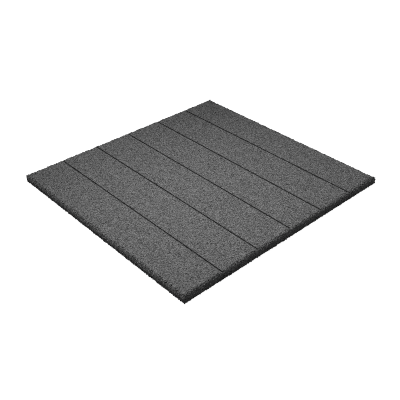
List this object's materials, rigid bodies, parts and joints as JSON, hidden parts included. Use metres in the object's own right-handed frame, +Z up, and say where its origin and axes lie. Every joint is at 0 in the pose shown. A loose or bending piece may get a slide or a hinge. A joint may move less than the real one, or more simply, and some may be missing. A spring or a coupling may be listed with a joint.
{
  "type": "rubber paving tile",
  "caption": "Square black rubber granule paving tile with bevelled upper edges and straight shallow grooves that divide the walking face into planks.",
  "frame": {"origin": "centre of the tile's underside, on the bed that it lies on", "axes": "+Z up out of the walking face, +Y along the grooves, +X across the planks"},
  "size_m": [1, 1, 0.03],
  "materials": {
    "granulate_rubber": "black rubber granules pressed together, matt, with open pits between the granules"
  },
  "bodies": {
    "root": {"paving_tile": "granulate_rubber"}
  },
  "joints": []
}
